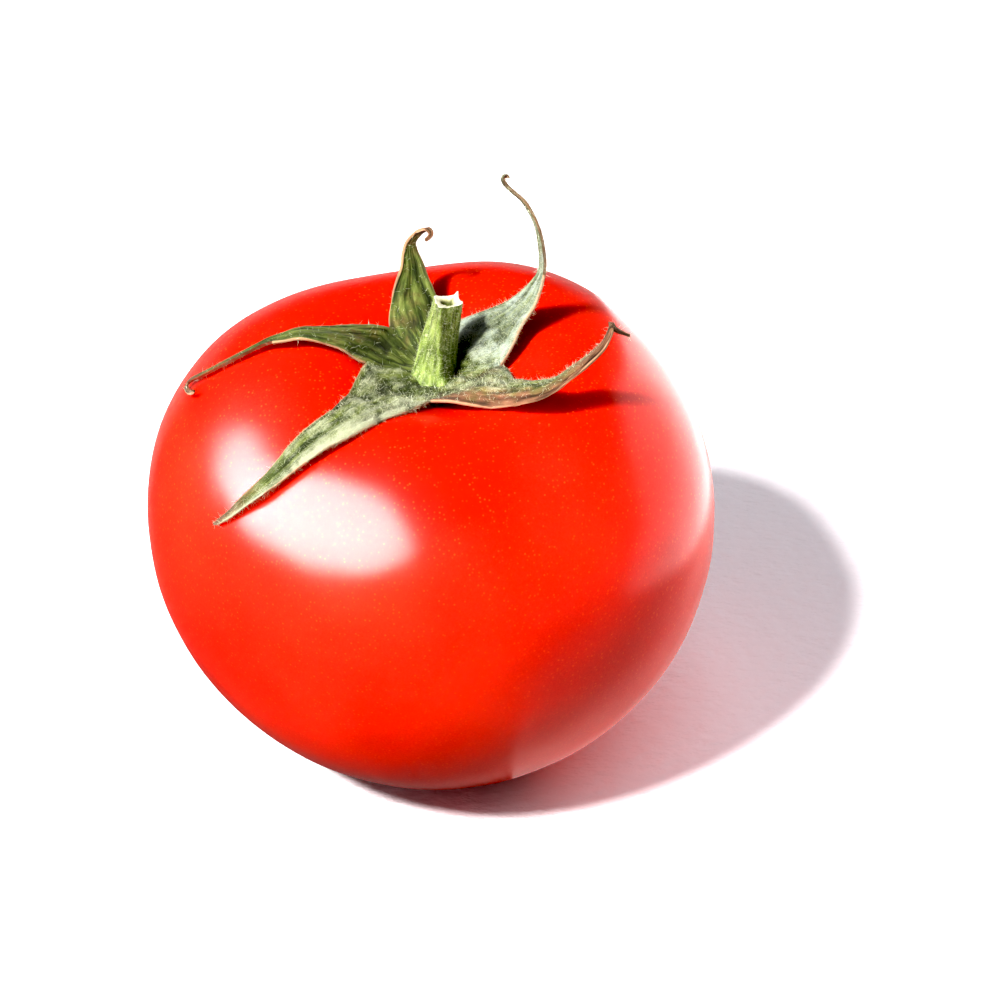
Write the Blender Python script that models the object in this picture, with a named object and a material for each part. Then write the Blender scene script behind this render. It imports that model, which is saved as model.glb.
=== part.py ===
"""A ripe round tomato with its dried calyx and a short stub of stalk, resting on its blossom end.

The origin is on the flat resting spot, straight under the middle of the fruit, with +Z up.
Sizes are in millimetres up to the moment when a mesh is made.
"""

import math

import bmesh
import bpy
import numpy as np
from mathutils import Matrix, Vector

MM = 0.001

# Fruit
EQUATOR_RADIUS = 33.0
TOP_HEIGHT = 28.9          # from the widest level up to the shoulders, before the stalk hollow
BOTTOM_HEIGHT = 30.2       # from the widest level down to the blossom end
SIDE_FULLNESS = 0.78       # 1 is a round side, less is a squarer one
TOP_FULLNESS = 0.85
BOTTOM_FULLNESS = 1.03
HOLLOW_DEPTH = 6.9
HOLLOW_RADIUS = 10.0
RESTING_DEPTH = 0.6        # how much of the underside the resting spot flattens
LEAN_TO_FRONT = math.radians(4.9)
LEAN_TO_LEFT = math.radians(0.8)
# Soft lobes: how many round the fruit, how high as a share of the radius, and where one of them peaks
SHOULDER_LOBES = [(2, 0.0147, -16.0), (3, 0.0085, 39.4), (4, 0.0180, 70.7), (5, 0.0069, 50.5)]
WAIST_LOBES = [(2, 0.0379, 14.0), (3, 0.0168, 51.7)]
FRUIT_SIDES = 84
FRUIT_RINGS = 44
RING_CROWDING = 1.2        # above 1 the rings stand closer together near the stalk
SLOPE_STEP = 0.002         # the small turn, in radians, over which the skin's slope is measured
SHARP_ANGLE = math.radians(50.0)

# Calyx: stations along each sepal's middle line, as x, y, z, half width and roll in degrees
SEPALS = {
    "front_left": [
        (-2.4, -4.5, 53.6, 3.2, 0),
        (-3.9, -7.4, 54.8, 3.9, 0),
        (-7.6, -11.2, 56.3, 3.1, 0),
        (-10.9, -14.6, 56.2, 2.7, 0),
        (-13.8, -16.9, 55.0, 2.3, 0),
        (-16.6, -18.6, 52.9, 1.7, 0),
        (-19.4, -19.4, 50.3, 1.15, 0),
        (-21.9, -19.2, 47.7, 0.7, 0),
        (-24.6, -18.6, 44.7, 0.4, 0),
    ],
    "left": [
        (-3.6, -1.0, 53.9, 2.8, 0),
        (-5.0, -0.4, 55.2, 3.0, 0),
        (-8.6, 0.4, 57.2, 2.1, 0),
        (-12.4, 0.0, 58.4, 1.5, 0),
        (-16.2, -0.9, 58.9, 1.1, 0),
        (-19.4, -1.5, 57.9, 0.7, 0),
        (-23.0, -1.8, 56.0, 0.5, 0),
        (-26.6, -1.5, 53.5, 0.4, 0),
        (-29.2, -1.3, 51.1, 0.4, 0),
    ],
    "back": [
        (-1.0, 1.5, 54.1, 2.8, 0),
        (-1.7, 3.4, 56.0, 3.0, 0),
        (-2.5, 6.4, 59.0, 2.2, 0),
        (-2.8, 8.4, 61.9, 1.4, 0),
        (-2.6, 9.6, 64.0, 0.8, 0),
        (-2.0, 9.9, 65.4, 0.5, 0),
        (-0.9, 9.6, 66.2, 0.4, 0),
        (-0.2, 9.1, 65.6, 0.35, 0),
    ],
    "back_right": [
        (2.9, -0.6, 54.0, 2.8, 0),
        (4.4, -0.2, 55.2, 3.0, 6),
        (7.3, 1.4, 57.0, 2.5, 12),
        (9.6, 2.9, 58.8, 1.8, 16),
        (11.6, 4.3, 60.9, 1.2, 18),
        (12.6, 5.2, 63.2, 0.65, 18),
        (12.8, 5.4, 66.5, 0.45, 18),
        (12.0, 5.0, 70.2, 0.4, 18),
        (10.5, 4.2, 73.3, 0.35, 18),
        (8.7, 3.2, 75.9, 0.33, 18),
    ],
    "front_right": [
        (2.2, -4.3, 53.7, 3.2, 0),
        (4.6, -6.7, 55.2, 3.6, 0),
        (8.0, -9.2, 57.0, 2.9, 0),
        (11.4, -10.4, 57.9, 2.1, 0),
        (14.7, -10.6, 59.1, 1.5, 0),
        (17.5, -10.1, 61.1, 1.1, 0),
        (19.6, -9.1, 63.2, 0.8, 0),
        (20.3, -8.8, 64.6, 0.65, 0),
    ],
}
CALYX_AXIS = (0.0, -1.9)   # the point, from above, that the sepals spread from
BLADE_THICKNESS = 0.7
BLADE_FOLD = 0.12          # how deep the middle groove is, as a share of the half width
BLADE_PLACES = (-1.0, -0.5, 0.0, 0.5, 1.0)     # points across a sepal, as shares of its half width
BLADE_STEPS = 3            # lengths between two stations
HUB_RADIUS = 4.6
HUB_GAP = 0.42             # clear space between the hub and the hollow
HUB_THICKNESS = 0.6        # under the stalk
HUB_RIM_THICKNESS = 1.5
HUB_RIM_POWER = 4          # a high power keeps the hub thin up to near its rim
HUB_SIDES = 30
HUB_RINGS = 4

# Stalk stub
STALK_PATH = [(-0.2, -1.9, 54.25), (0.1, -1.7, 56.0), (0.9, -1.2, 58.8), (2.0, -0.5, 62.6)]
STALK_RADII = [2.25, 2.2, 2.0, 1.6]
STALK_SIDES = 20
STALK_STEPS = 4
RIB_COUNT = 5
RIB_HEIGHT = 0.05          # as a share of the radius
PITH_RADIUS = 0.55
PITH_DEPTH = 1.0
PITH_LIP_RADIUS = 0.72     # the hollow is a little wider at its mouth
PITH_LIP_DEPTH = 0.15
SPLINTER_HEIGHT = 1.0
SPLINTER_DIRECTION = math.radians(50.0)
SPLINTER_POWER = 6         # a high power makes a narrow splinter

COLOURS = {
    "fruit": ("ripe tomato skin", (0.80, 0.016, 0.004), 0.25),
    "calyx": ("dried green sepal", (0.090, 0.130, 0.040), 0.75),
    "stem": ("green stalk", (0.120, 0.190, 0.040), 0.65),
}


def clear_scene():
    for old in list(bpy.data.objects):
        bpy.data.objects.remove(old, do_unlink=True)


def lobes(waves, azimuth):
    """Sum of the soft waves round the fruit at one azimuth."""
    return sum(height * math.cos(count * (azimuth - math.radians(peak))) for count, height, peak in waves)


def skin_point(polar, azimuth):
    """A point of the skin round the fruit's middle; polar is 0 at the stalk and pi at the blossom end."""
    across = math.sin(polar)
    along = math.cos(polar)
    radius = EQUATOR_RADIUS * max(across, 0.0) ** SIDE_FULLNESS
    if along > 0:
        height = TOP_HEIGHT * along ** TOP_FULLNESS
    else:
        height = -BOTTOM_HEIGHT * (-along) ** BOTTOM_FULLNESS
    hollow = math.exp(-((radius / HOLLOW_RADIUS) ** 2)) if along > 0 else 0.0
    shoulder = math.cos(polar / 2) ** 2 * (1 - hollow)
    swell = 1 + shoulder * lobes(SHOULDER_LOBES, azimuth) + across ** 2 * lobes(WAIST_LOBES, azimuth)
    out = radius * swell
    point = Vector((out * math.cos(azimuth), out * math.sin(azimuth), height * swell - HOLLOW_DEPTH * hollow))
    lean = Matrix.Rotation(-LEAN_TO_LEFT, 3, "Y") @ Matrix.Rotation(LEAN_TO_FRONT, 3, "X")
    return lean @ point


def ring_polar(ring):
    """The polar angle of one ring of the skin."""
    return math.pi * (ring / FRUIT_RINGS) ** RING_CROWDING


def side_azimuth(side, sides=FRUIT_SIDES):
    return 2 * math.pi * side / sides


def resting_level():
    """The height of the resting plane, measured from the fruit's middle."""
    lowest = min(
        skin_point(ring_polar(ring), side_azimuth(side)).z
        for ring in range(FRUIT_RINGS // 2, FRUIT_RINGS + 1)
        for side in range(FRUIT_SIDES)
    )
    return lowest + RESTING_DEPTH


def standing(point, level):
    """Moves a point of the skin to where the fruit stands, with the resting spot flat at z = 0."""
    return Vector((point.x, point.y, max(point.z - level, 0.0)))


def skin_normal(polar, azimuth):
    """The outward direction of the skin."""
    here = skin_point(polar, azimuth)
    down = skin_point(polar + SLOPE_STEP, azimuth) - here
    around = skin_point(polar, azimuth + SLOPE_STEP) - here
    return down.cross(around).normalized()


def closed_mesh(name, points, faces):
    """A mesh in metres with all faces split in triangles and facing outwards."""
    mesh = bpy.data.meshes.new(name)
    mesh.from_pydata([tuple(Vector(p) * MM) for p in points], [], faces)
    work = bmesh.new()
    work.from_mesh(mesh)
    bmesh.ops.recalc_face_normals(work, faces=work.faces)
    work.to_mesh(mesh)
    work.free()
    return mesh


def add_object(name, mesh):
    made = bpy.data.objects.new(name, mesh)
    bpy.context.scene.collection.objects.link(made)
    return made


def finish_object(made, key):
    """Gives an object its material and smooth shading."""
    label, colour, roughness = COLOURS[key]
    material = bpy.data.materials.new(label)
    material.use_nodes = True
    shader = material.node_tree.nodes["Principled BSDF"]
    shader.inputs["Base Color"].default_value = (*colour, 1.0)
    shader.inputs["Roughness"].default_value = roughness
    shader.inputs["Metallic"].default_value = 0.0
    made.data.materials.clear()
    made.data.materials.append(material)
    made.data.shade_smooth()
    made.data.set_sharp_from_angle(angle=SHARP_ANGLE)
    return made


def ring_faces(first, second, sides):
    """Triangles between two rings of points, given by the index of each ring's first point."""
    faces = []
    for side in range(sides):
        after = (side + 1) % sides
        faces.append((first + side, second + side, second + after))
        faces.append((first + side, second + after, first + after))
    return faces


def fan_faces(middle, ring, sides):
    """Triangles from one middle point to a ring."""
    return [(middle, ring + side, ring + (side + 1) % sides) for side in range(sides)]


def make_fruit(level):
    """The berry: rings of skin from the stalk hollow down to the flat resting spot."""
    points = [standing(skin_point(0.0, 0.0), level)]
    for ring in range(1, FRUIT_RINGS):
        for side in range(FRUIT_SIDES):
            points.append(standing(skin_point(ring_polar(ring), side_azimuth(side)), level))
    points.append(Vector((0.0, 0.0, 0.0)))
    faces = fan_faces(0, 1, FRUIT_SIDES)
    for ring in range(FRUIT_RINGS - 2):
        faces += ring_faces(1 + ring * FRUIT_SIDES, 1 + (ring + 1) * FRUIT_SIDES, FRUIT_SIDES)
    faces += fan_faces(len(points) - 1, 1 + (FRUIT_RINGS - 2) * FRUIT_SIDES, FRUIT_SIDES)
    return finish_object(add_object("fruit", closed_mesh("fruit", points, faces)), "fruit")


def smooth_rows(rows, steps):
    """Rows of numbers read from a smooth curve through the given ones."""
    rows = np.array(rows, dtype=float)
    ends = np.vstack([2 * rows[0] - rows[1], rows, 2 * rows[-1] - rows[-2]])
    smooth = []
    for i in range(len(rows) - 1):
        a, b, c, d = ends[i:i + 4]
        for step in range(steps):
            s = step / steps
            smooth.append(0.5 * (2 * b + (c - a) * s + (2 * a - 5 * b + 4 * c - d) * s ** 2
                                 + (3 * b - a - 3 * c + d) * s ** 3))
    smooth.append(rows[-1])
    return np.array(smooth)


def blade_section(centre, forward, outward, half_width, roll):
    """One cross section of a sepal: a thin plate with a shallow groove along its middle."""
    beside = Vector((-outward.y, outward.x, 0.0))
    beside = (beside - forward * beside.dot(forward)).normalized()
    beside = Matrix.Rotation(math.radians(roll), 3, forward) @ beside
    up = forward.cross(beside).normalized()
    half = max(half_width, BLADE_THICKNESS / 2)
    top, bottom = [], []
    for share in BLADE_PLACES:
        place = centre + beside * half * share + up * BLADE_FOLD * half * abs(share)
        top.append(place + up * BLADE_THICKNESS / 2)
        bottom.append(place - up * BLADE_THICKNESS / 2)
    return top + bottom[::-1]


def make_blade(name, stations):
    """One sepal, swept along its middle line and closed at both ends."""
    rows = smooth_rows(stations, BLADE_STEPS)
    points = []
    for i, row in enumerate(rows):
        before = Vector(rows[max(i - 1, 0)][:3])
        after = Vector(rows[min(i + 1, len(rows) - 1)][:3])
        centre = Vector(row[:3])
        outward = Vector((centre.x - CALYX_AXIS[0], centre.y - CALYX_AXIS[1], 0.0)).normalized()
        points += blade_section(centre, (after - before).normalized(), outward, row[3], row[4])
    sides = 2 * len(BLADE_PLACES)
    last = (len(rows) - 1) * sides
    faces = []
    for i in range(len(rows) - 1):
        faces += ring_faces(i * sides, (i + 1) * sides, sides)
    for start in (0, last):
        for near in range(len(BLADE_PLACES) - 1):
            far = sides - 1 - near
            faces.append((start + near, start + near + 1, start + far - 1))
            faces.append((start + near, start + far - 1, start + far))
    return add_object(name, closed_mesh(name, points, faces))


def make_hub(level):
    """The small disc that the sepals grow from, laid in the bottom of the stalk hollow."""
    points = []
    edge_polar = math.asin((HUB_RADIUS / EQUATOR_RADIUS) ** (1 / SIDE_FULLNESS))
    for thickness, rim_thickness in ((0.0, 0.0), (HUB_THICKNESS, HUB_RIM_THICKNESS)):
        middle = skin_point(0.0, 0.0) + skin_normal(SLOPE_STEP, 0.0) * (HUB_GAP + thickness)
        points.append(middle - Vector((0.0, 0.0, level)))
        for ring in range(1, HUB_RINGS + 1):
            polar = edge_polar * ring / HUB_RINGS
            lift = HUB_GAP + thickness + (rim_thickness - thickness) * (ring / HUB_RINGS) ** HUB_RIM_POWER
            for side in range(HUB_SIDES):
                azimuth = side_azimuth(side, HUB_SIDES)
                place = skin_point(polar, azimuth) + skin_normal(polar, azimuth) * lift
                points.append(place - Vector((0.0, 0.0, level)))
    layer = 1 + HUB_RINGS * HUB_SIDES
    faces = []
    for base in (0, layer):
        faces += fan_faces(base, base + 1, HUB_SIDES)
        for ring in range(HUB_RINGS - 1):
            inner = base + 1 + ring * HUB_SIDES
            faces += ring_faces(inner, inner + HUB_SIDES, HUB_SIDES)
    rim = 1 + (HUB_RINGS - 1) * HUB_SIDES
    faces += ring_faces(rim, layer + rim, HUB_SIDES)
    return add_object("hub", closed_mesh("hub", points, faces))


def keep_largest_body(mesh):
    """Drops the small loose scraps and sealed pockets that joining leaves, and fills the pockets so."""
    work = bmesh.new()
    work.from_mesh(mesh)
    bmesh.ops.triangulate(work, faces=work.faces)
    bodies = []
    waiting = set(work.verts)
    while waiting:
        body = {waiting.pop()}
        edge_of_body = list(body)
        while edge_of_body:
            for edge in edge_of_body.pop().link_edges:
                for vertex in edge.verts:
                    if vertex in waiting:
                        waiting.remove(vertex)
                        body.add(vertex)
                        edge_of_body.append(vertex)
        bodies.append(body)
    bodies.sort(key=len)
    scraps = [vertex for body in bodies[:-1] for vertex in body]
    bmesh.ops.delete(work, geom=scraps, context="VERTS")
    work.to_mesh(mesh)
    work.free()


def make_calyx(level):
    """The hub and its five sepals, joined in one body."""
    calyx = make_hub(level)
    calyx.name = "calyx"
    blades = bpy.data.collections.new("sepals")
    for name, stations in SEPALS.items():
        blade = make_blade(name, stations)
        bpy.context.scene.collection.objects.unlink(blade)
        blades.objects.link(blade)
    bpy.context.scene.collection.children.link(blades)
    join = calyx.modifiers.new("join sepals", "BOOLEAN")
    join.operation = "UNION"
    join.operand_type = "COLLECTION"
    join.collection = blades
    join.solver = "EXACT"
    bpy.context.view_layer.update()
    joined = bpy.data.meshes.new_from_object(calyx.evaluated_get(bpy.context.evaluated_depsgraph_get()))
    calyx.modifiers.clear()
    keep_largest_body(joined)
    calyx.data = joined
    for blade in list(blades.objects):
        bpy.data.objects.remove(blade, do_unlink=True)
    bpy.data.collections.remove(blades)
    return finish_object(calyx, "calyx")


def stalk_ring(centre, forward, radius, raise_by=None):
    """One ring of the ribbed stalk."""
    across = Vector((1.0, 0.0, 0.0))
    across = (across - forward * across.dot(forward)).normalized()
    other = forward.cross(across).normalized()
    ring = []
    for side in range(STALK_SIDES):
        turn = side_azimuth(side, STALK_SIDES)
        wide = radius * (1 + RIB_HEIGHT * math.cos(RIB_COUNT * turn))
        place = centre + (across * math.cos(turn) + other * math.sin(turn)) * wide
        if raise_by is not None:
            place = place + forward * raise_by(turn)
        ring.append(place)
    return ring


def splinter(turn):
    """How far the torn rim stands up at one place round it."""
    return SPLINTER_HEIGHT * max(math.cos(turn - SPLINTER_DIRECTION), 0.0) ** SPLINTER_POWER


def make_stalk():
    """The stub of stalk: a ribbed, tapering tube, torn across, with a small hollow of pith at its end."""
    rows = smooth_rows([(*place, radius) for place, radius in zip(STALK_PATH, STALK_RADII)], STALK_STEPS)
    rings = []
    for i, row in enumerate(rows):
        before = Vector(rows[max(i - 1, 0)][:3])
        after = Vector(rows[min(i + 1, len(rows) - 1)][:3])
        forward = (after - before).normalized()
        is_top = i == len(rows) - 1
        rings.append(stalk_ring(Vector(row[:3]), forward, row[3], splinter if is_top else None))
    top = Vector(rows[-1][:3])
    rings.append(stalk_ring(top - forward * PITH_LIP_DEPTH, forward, PITH_LIP_RADIUS))
    rings.append(stalk_ring(top - forward * PITH_DEPTH, forward, PITH_RADIUS))
    points = [point for ring in rings for point in ring]
    faces = []
    for i in range(len(rings) - 1):
        faces += ring_faces(i * STALK_SIDES, (i + 1) * STALK_SIDES, STALK_SIDES)
    points += [Vector(rows[0][:3]), top - forward * PITH_DEPTH]
    faces += fan_faces(len(points) - 2, 0, STALK_SIDES)
    faces += fan_faces(len(points) - 1, (len(rings) - 1) * STALK_SIDES, STALK_SIDES)
    return finish_object(add_object("stem", closed_mesh("stem", points, faces)), "stem")


def main():
    clear_scene()
    level = resting_level()
    make_fruit(level)
    make_calyx(level)
    make_stalk()


main()
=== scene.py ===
"""A ripe tomato with its hairy dried calyx and torn stalk stub, on white paper in soft studio light.

Shapes are worked out in millimetres and turned to metres where a mesh is made.
"""

import math

import bpy
import numpy as np
from mathutils import Matrix, Vector, noise
from mathutils.bvhtree import BVHTree


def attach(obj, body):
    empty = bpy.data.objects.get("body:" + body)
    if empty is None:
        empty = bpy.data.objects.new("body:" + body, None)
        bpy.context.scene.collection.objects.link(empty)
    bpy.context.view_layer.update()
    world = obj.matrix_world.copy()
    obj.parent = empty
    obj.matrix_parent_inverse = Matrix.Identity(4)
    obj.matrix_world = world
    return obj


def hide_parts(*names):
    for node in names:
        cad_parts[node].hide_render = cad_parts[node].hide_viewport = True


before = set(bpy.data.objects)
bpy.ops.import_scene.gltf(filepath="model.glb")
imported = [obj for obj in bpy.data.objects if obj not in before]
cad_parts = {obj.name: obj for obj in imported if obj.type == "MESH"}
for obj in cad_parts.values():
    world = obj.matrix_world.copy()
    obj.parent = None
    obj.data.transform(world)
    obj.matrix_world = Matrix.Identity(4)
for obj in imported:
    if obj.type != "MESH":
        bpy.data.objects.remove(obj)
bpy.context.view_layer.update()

MM = 0.001

# Camera, as in the photograph
CAMERA_PLACE = (0.00774, -0.2657, 0.2409)
CAMERA_TILT = math.radians(52.0)
CAMERA_LENS = 100.0
CAMERA_FILM = 36.0
CAMERA_GAMMA = 0.8
CAMERA_BLACK = 0.03         # deep blacks, as a contrasty print has

# Studio, in metres: the key light's strength, its width and the way its light travels and falls
KEY_STRENGTH = 7.2
KEY_WIDTH = math.radians(7.0)
KEY_AZIMUTH = math.radians(41.5)
KEY_FALL = math.radians(51.0)
PAPER_HALF = 3.0
FRUIT_MIDDLE = (0.0, 0.0, 0.03)
# Name, what it reaches, colour, place, the point it faces, width, height, roll in degrees and brightness
STUDIO_LIGHTS = [
    ("soft box", "gloss", (0.94, 0.95, 1.0), (-0.687, -0.446, 0.604), FRUIT_MIDDLE, 1.6, 0.92, 10, 50.0),
    ("white card", "gloss", (1, 0.98, 0.98), (0.154, 0.068, 0.102), (-0.482, -0.205, 0.821),
     0.168, 0.275, 0, 3.7),
    ("low card", "gloss", (1, 0.96, 0.94), (0.068, -0.004, 0.002), (0.068, -0.004, 1), 0.12, 0.12, 0, 0.7),
    ("side fill", "matte", (1, 1, 1), (0.160, 0.000, 0.050), FRUIT_MIDDLE, 0.16, 0.12, 0, 4.2),
    ("low fill", "matte", (1, 1, 1), (0.056, -0.010, 0.002), (0.056, -0.01, 1), 0.088, 0.09, 0, 0.7),
    ("front fill", "matte", (1, 1, 1), (-0.887, -0.718, 0.371), FRUIT_MIDDLE, 0.8, 0.8, 0, 5.0),
    ("table light", "table", (0.98, 0.98, 1), (0.61, 0.15, 1.40), FRUIT_MIDDLE, 2.0, 2.0, 0, 2.15),
]
ROUND_LIGHTS = ("soft box", "low card")
# Place and power of each red glow through the flesh
FLESH_GLOWS = [((0.012, 0.008, 0.036), 0.001), ((0.002, -0.021, 0.006), 0.0009)]

# Fruit: the inputs of its shape tree, in millimetres, radians or shares
FRUIT_SHAPE = {
    "equator radius": 33.0,
    "top height": 28.9,
    "bottom height": 30.2,
    "side fullness": 0.78,
    "top fullness": 0.85,
    "bottom fullness": 1.03,
    "hollow depth": 6.9,
    "hollow radius": 10.0,
    "lean to front": math.radians(4.9),
    "lean to left": math.radians(0.8),
    "middle height": 29.787,
    "scar radius": 1.5,
    "scar depth": 0.55,
    "wave height": 0.10,
    "wave length": 11.0,
    "ring crowding": 1.12,
}
FRUIT_RINGS = 210
FRUIT_SIDES = 320
# Soft lobes: how many round the fruit, how high as a share of the radius, and where one of them peaks
SHOULDER_LOBES = [(2, 0.0147, -16.0), (3, 0.0085, 39.4), (4, 0.0180, 70.7), (5, 0.0069, 50.5)]
WAIST_LOBES = [(2, 0.0379, 14.0), (3, 0.0168, 51.7)]

# Calyx: stations along each sepal's middle line, as x, y, z, half width and any roll in degrees
SEPALS = {
    "front_right": [
        (3.4, -6.3, 54.9, 3.6), (5.7, -8.3, 56.2, 3.3), (8.3, -10.5, 57.5, 2.6),
        (10.8, -12.0, 58.7, 2.2), (13.1, -12.6, 59.7, 1.75), (15.3, -12.2, 61.0, 1.35),
        (17.2, -11.5, 62.2, 1.1), (19.0, -10.6, 63.6, 0.9), (19.8, -10.1, 64.9, 0.75),
        (20.1, -9.9, 65.6, 0.6), (20.6, -9.7, 65.0, 0.3), (21.4, -9.5, 64.4, 0.18),
        (22.2, -9.3, 63.9, 0.08),
    ],
    "back_right": [
        (4.0, -0.6, 55.2, 2.9, 0), (5.9, 0.0, 56.5, 3.0, 8), (7.6, 1.2, 57.6, 2.5, 12),
        (9.2, 2.2, 58.8, 2.1, 16), (10.9, 3.1, 60.3, 1.5, 18), (11.9, 3.8, 61.8, 1.0, 18),
        (12.5, 4.3, 63.1, 0.55, 18), (12.7, 4.5, 64.8, 0.44, 18), (12.5, 4.6, 67.0, 0.38, 18),
        (12.1, 4.6, 69.1, 0.33, 18), (11.5, 4.5, 71.0, 0.3, 18), (10.5, 4.2, 73.1, 0.28, 18),
        (9.3, 3.8, 74.6, 0.25, 18), (8.5, 3.5, 75.6, 0.22, 18), (8.1, 3.2, 76.5, 0.2, 18),
        (8.1, 3.0, 77.1, 0.17, 18), (8.5, 2.8, 77.4, 0.14, 18), (8.7, 2.6, 77.2, 0.08, 18),
    ],
    "back": [
        (-1.4, 2.4, 56.3, 2.9), (-2.2, 5.2, 58.3, 2.5), (-2.5, 7.4, 59.8, 2.0),
        (-2.6, 8.7, 61.3, 1.4), (-2.8, 9.5, 62.5, 1.0), (-2.8, 9.9, 63.5, 0.7),
        (-2.6, 10.0, 64.2, 0.5), (-2.1, 10.0, 64.9, 0.4), (-1.6, 9.9, 65.5, 0.34),
        (-0.9, 9.6, 66.0, 0.3), (-0.4, 9.3, 65.9, 0.26), (-0.3, 9.0, 65.6, 0.2),
        (-0.6, 8.7, 65.3, 0.15), (-1.0, 8.5, 65.1, 0.08),
    ],
    "left": [
        (-4.2, 1.3, 54.6, 2.8), (-6.3, 0.9, 55.5, 2.7), (-8.5, 0.2, 56.6, 2.3),
        (-10.8, -0.3, 57.6, 1.9), (-13.1, -0.6, 58.2, 1.45), (-15.2, -0.7, 58.4, 1.2),
        (-17.2, -1.0, 58.1, 0.95), (-18.9, -1.0, 57.6, 0.62), (-20.4, -1.2, 56.9, 0.42),
        (-21.8, -1.4, 56.2, 0.36), (-24.2, -1.3, 54.7, 0.32), (-26.3, -1.0, 53.2, 0.3),
        (-27.9, -0.3, 51.8, 0.28), (-28.8, 0.3, 50.8, 0.28), (-29.1, -0.3, 50.5, 0.25),
        (-28.8, -1.8, 50.8, 0.22), (-28.2, -2.9, 51.5, 0.18), (-27.9, -3.3, 52.0, 0.1),
    ],
    "front_left": [
        (-3.3, -3.9, 53.1, 3.4), (-5.4, -8.3, 54.7, 3.7), (-8.1, -11.7, 55.6, 3.1),
        (-10.5, -14.2, 55.4, 2.6), (-12.7, -15.7, 54.6, 2.1), (-14.7, -17.0, 53.5, 1.7),
        (-16.8, -18.3, 51.9, 1.2), (-19.0, -19.1, 50.1, 0.9), (-21.0, -19.2, 48.2, 0.66),
        (-22.7, -19.0, 46.3, 0.46), (-24.1, -18.6, 44.8, 0.32), (-24.8, -18.1, 44.0, 0.16),
    ],
}
CALYX_AXIS = (-0.26, -1.86)
# The notch before each sepal, anticlockwise: azimuth in degrees, distance from the axis and clear height
# over the skin
NOTCHES = [(270.0, 6.9, 1.0), (342.0, 8.4, 1.2), (76.0, 6.4, 1.0), (131.0, 7.5, 1.1), (185.0, 7.5, 0.9)]
# Look of each sepal: how far the margins rise as a share of the half width, how dry and woolly it is, how far
# its right margin is rolled under, how clumped its wool is and how much more wool lies along its left margin
SEPAL_LOOKS = {
    "front_right": {"cup": -0.10, "dry": 0.35, "wool": 0.68, "fold": 0.75, "clumps": 0.35, "pale": 0.0},
    "back_right": {"cup": 0.15, "dry": -0.30, "wool": 0.9, "fold": 0.0, "clumps": 0.15, "pale": 0.0},
    "back": {"cup": 0.20, "dry": 0.25, "wool": 0.12, "fold": 0.0, "clumps": 0.35, "pale": 0.0},
    "left": {"cup": -0.10, "dry": 0.25, "wool": 0.10, "fold": 0.0, "clumps": 0.4, "pale": 0.3},
    "front_left": {"cup": -0.12, "dry": 0.05, "wool": 0.62, "fold": 0.0, "clumps": 0.55, "pale": 0.9},
}
# Named numbers at each point of the calyx: dryness, wool, place across, and painted shade for its hollows and
# creases (the mark named hollow)
SEPAL_MARKS = ("dry", "wool", "across", "hollow")
ACROSS = 24                 # strips across each sepal
ALONG = 130                 # rows along each sepal
DISC_RINGS = 16
DISC_REACH = 8.0
INNER_RING = 0.12           # the first ring's share of the way out
DISC_RISE = 2.3             # how far the middle of the disc stands over the skin
DISC_DRY = 0.15
DISC_WOOL = 0.05
SHEET_THICKNESS = 0.36
SKIN_GAP = 0.08             # the least gap between leaf and skin
WOOL_RELIEF = 0.28          # how far clumps of wool stand up and the hollows between them sink
PAINTED_SHADE_LEVEL = 0.35         # wool that stands higher gets no painted shade
NOTCH_OVERLAP = 0.3         # how far inside its notches a sepal begins
BASE_BLEND = 4.5            # over this length a sepal takes on its own cross section
FOLD_START = 0.15           # share of the half width at which a rolled margin starts to turn under
BROAD_SEPAL = 2.5           # half width from which creases have their whole depth

# Stalk stub
STALK_PATH = [
    (0.3, -2.1, 53.0), (0.35, -1.9, 54.25), (0.5, -1.7, 56.0), (0.95, -1.2, 58.8), (1.7, -0.5, 62.6),
]
STALK_RADII = [3.0, 2.5, 2.15, 1.85, 1.6]
STALK_WIDTH = 0.93          # share of the radius left beside the ribs
STALK_FACETS = [-168.0, -55.0, 30.0, 112.0]   # azimuths that its four rounded sides face at the top
STALK_TWIST = 45.0          # how far they have turned at the root
STALK_SIDES = 64
STALK_ROWS = 70
RAGGED_LENGTH = 0.8         # how far below its torn rim it is ragged
SPLINTER_AZIMUTH = math.radians(48)
LIP_AZIMUTH = math.radians(-5)
# The torn end, from the rim inwards: radius share, depth below the rim and how torn
TORN_RINGS = [
    (0.99, -0.06, 0.2), (0.92, -0.04, 0.3), (0.80, 0.08, 0.45), (0.64, 0.14, 0.5), (0.50, 0.16, 0.6),
    (0.42, 0.35, 0.75), (0.35, 0.8, 0.85), (0.24, 1.0, 1.0), (0.08, 0.95, 1.0),
]

# Hairs, in metres
CALYX_HAIRS = {
    "hairs per square metre": 1.4e7, "shortest": 0.0002, "longest": 0.0008, "thickness": 0.000019,
    "lean": 1.6, "bend": 0.0003, "seed": 3,
}
STALK_HAIRS = {
    "hairs per square metre": 8.0e6, "shortest": 0.0002, "longest": 0.0005, "thickness": 0.000018,
    "lean": 0.9, "bend": 0.0002, "seed": 5,
}


def to_linear(code):
    """The linear colour of an sRGB hex code."""
    shares = [int(code[i:i + 2], 16) / 255 for i in (1, 3, 5)]
    return tuple(s / 12.92 if s <= 0.04045 else ((s + 0.055) / 1.055) ** 2.4 for s in shares) + (1.0,)


def fill(tree, node, inputs):
    """Links or sets a node's inputs."""
    for key, value in inputs.items():
        if isinstance(value, bpy.types.NodeSocket):
            tree.links.new(value, node.inputs[key])
        else:
            node.inputs[key].default_value = value


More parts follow.
